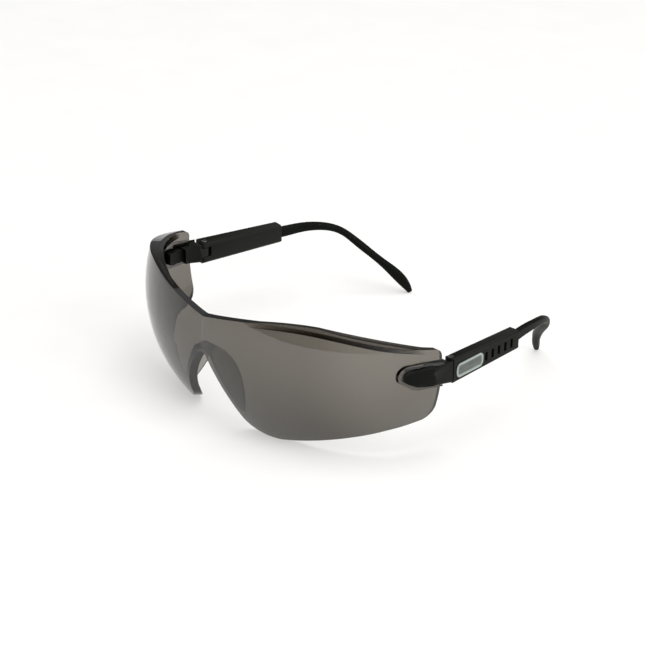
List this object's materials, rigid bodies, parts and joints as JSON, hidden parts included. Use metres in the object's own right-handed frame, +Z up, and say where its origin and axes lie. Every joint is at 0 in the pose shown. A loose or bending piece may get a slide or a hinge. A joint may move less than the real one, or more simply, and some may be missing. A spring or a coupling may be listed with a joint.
{
  "type": "safety glasses",
  "caption": "Wrap-round safety glasses: a one-piece smoke lens with brow ledge, folding side sleeves and length-adjustable hooked arms.",
  "frame": {"origin": "centre of the footprint, on the surface the glasses stand on", "axes": "+Z up, lens faces -Y, arms run back to +Y, wearer's left is +X"},
  "size_m": [0.1408, 0.1367, 0.048],
  "materials": {
    "smoke_lens": "polished smoke polycarbonate",
    "smoke_bridge": "polished smoke polymer",
    "black_satin": "satin black nylon",
    "screw_steel": "turned steel",
    "badge_grey": "pale grey satin plastic"
  },
  "bodies": {
    "front": {"lens": "smoke_lens", "nose_bridge": "smoke_bridge", "left_end_cover": "black_satin", "left_hinge_block": "black_satin", "left_cover_pegs": "black_satin", "right_end_cover": "black_satin", "right_hinge_block": "black_satin", "right_cover_pegs": "black_satin"},
    "left_temple": {"left_sleeve": "black_satin", "left_badge": "badge_grey", "left_hinge_screw": "screw_steel"},
    "left_arm_slider": {"left_arm": "black_satin"},
    "right_temple": {"right_sleeve": "black_satin", "right_badge": "badge_grey", "right_hinge_screw": "screw_steel"},
    "right_arm_slider": {"right_arm": "black_satin"}
  },
  "joints": [
    {"name": "left_fold", "type": "hinge", "parent": "front", "child": "left_temple", "pos_m": [0.066, -0.0125, 0.0297], "axis": [0, 0, 1], "range_deg": [0, 88]},
    {"name": "left_length", "type": "slide", "parent": "left_temple", "child": "left_arm_slider", "axis": [-0.1097, 0.994, 0], "range_m": [0, 0.0144]},
    {"name": "right_fold", "type": "hinge", "parent": "front", "child": "right_temple", "pos_m": [-0.066, -0.0125, 0.0297], "axis": [0, 0, -1], "range_deg": [0, 74]},
    {"name": "right_length", "type": "slide", "parent": "right_temple", "child": "right_arm_slider", "axis": [0.1097, 0.994, 0], "range_m": [0, 0.0144]}
  ]
}
